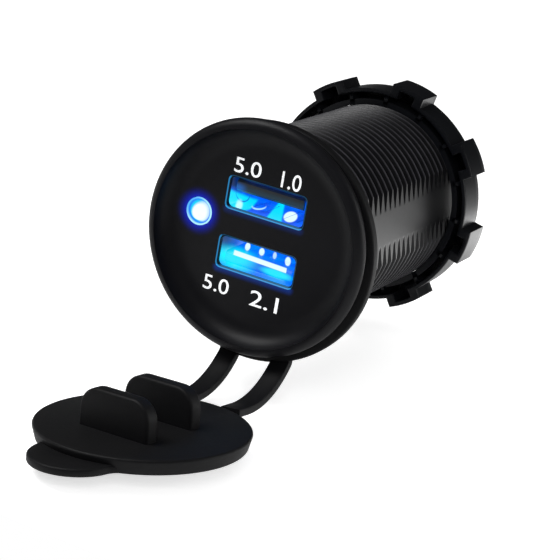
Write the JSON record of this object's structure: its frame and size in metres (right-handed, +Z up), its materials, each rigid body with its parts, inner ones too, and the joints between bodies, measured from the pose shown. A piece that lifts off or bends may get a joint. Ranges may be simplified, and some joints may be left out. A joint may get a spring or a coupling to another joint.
{
  "type": "car dual usb socket",
  "caption": "Round panel-mount charging socket with two lit ports, a lobed ring nut and a rubber cover with plugs.",
  "frame": {"origin": "on the barrel's axis, in the plane where the rubber ring meets the panel's front face", "axes": "+Y along the barrel into the panel, +Z up with the upper port, the face looks towards -Y"},
  "size_m": [0.0384, 0.1039, 0.0441],
  "materials": {
    "housing_plastic": "moulded black plastic",
    "nut_plastic": "moulded black nylon",
    "black_rubber": "soft black rubber",
    "plated_steel": "nickel-plated sheet",
    "tongue_plastic": "pale moulded plastic",
    "gold_plate": "gold-plated spring strip",
    "blue_lens": "clear lens, lit blue",
    "tinned_wire": "tinned wire",
    "board_laminate": "green solder mask",
    "ferrite": "grey ferrite",
    "copper_wire": "enamelled copper",
    "capacitor_can": "sleeved aluminium can",
    "chip_epoxy": "moulded epoxy",
    "fuse_polymer": "yellow coated polymer",
    "plated_brass": "tin-plated brass"
  },
  "bodies": {
    "socket": {"socket_housing": "housing_plastic", "upper_port_shell": "plated_steel", "lower_port_shell": "plated_steel", "upper_tongue": "tongue_plastic", "lower_tongue": "tongue_plastic", "upper_contacts": "gold_plate", "lower_contacts": "gold_plate", "indicator_led": "blue_lens", "indicator_leads": "tinned_wire", "front_board": "board_laminate", "port_leds": "blue_lens", "power_board": "board_laminate", "board_link_pins": "tinned_wire", "inductor_core": "ferrite", "inductor_winding": "copper_wire", "capacitors": "capacitor_can", "control_chips": "chip_epoxy", "rectifier_diode": "chip_epoxy", "resettable_fuse": "fuse_polymer", "chip_resistors": "chip_epoxy", "positive_blade": "plated_brass", "negative_blade": "plated_brass", "rear_cover": "housing_plastic", "rubber_cover": "black_rubber"},
    "ring_nut": {"ring_nut": "nut_plastic"}
  },
  "joints": [
    {"name": "ring_nut_slide", "type": "slide", "parent": "socket", "child": "ring_nut", "axis": [0, 1, 0], "range_m": [-0.0345, 0.0013]}
  ]
}
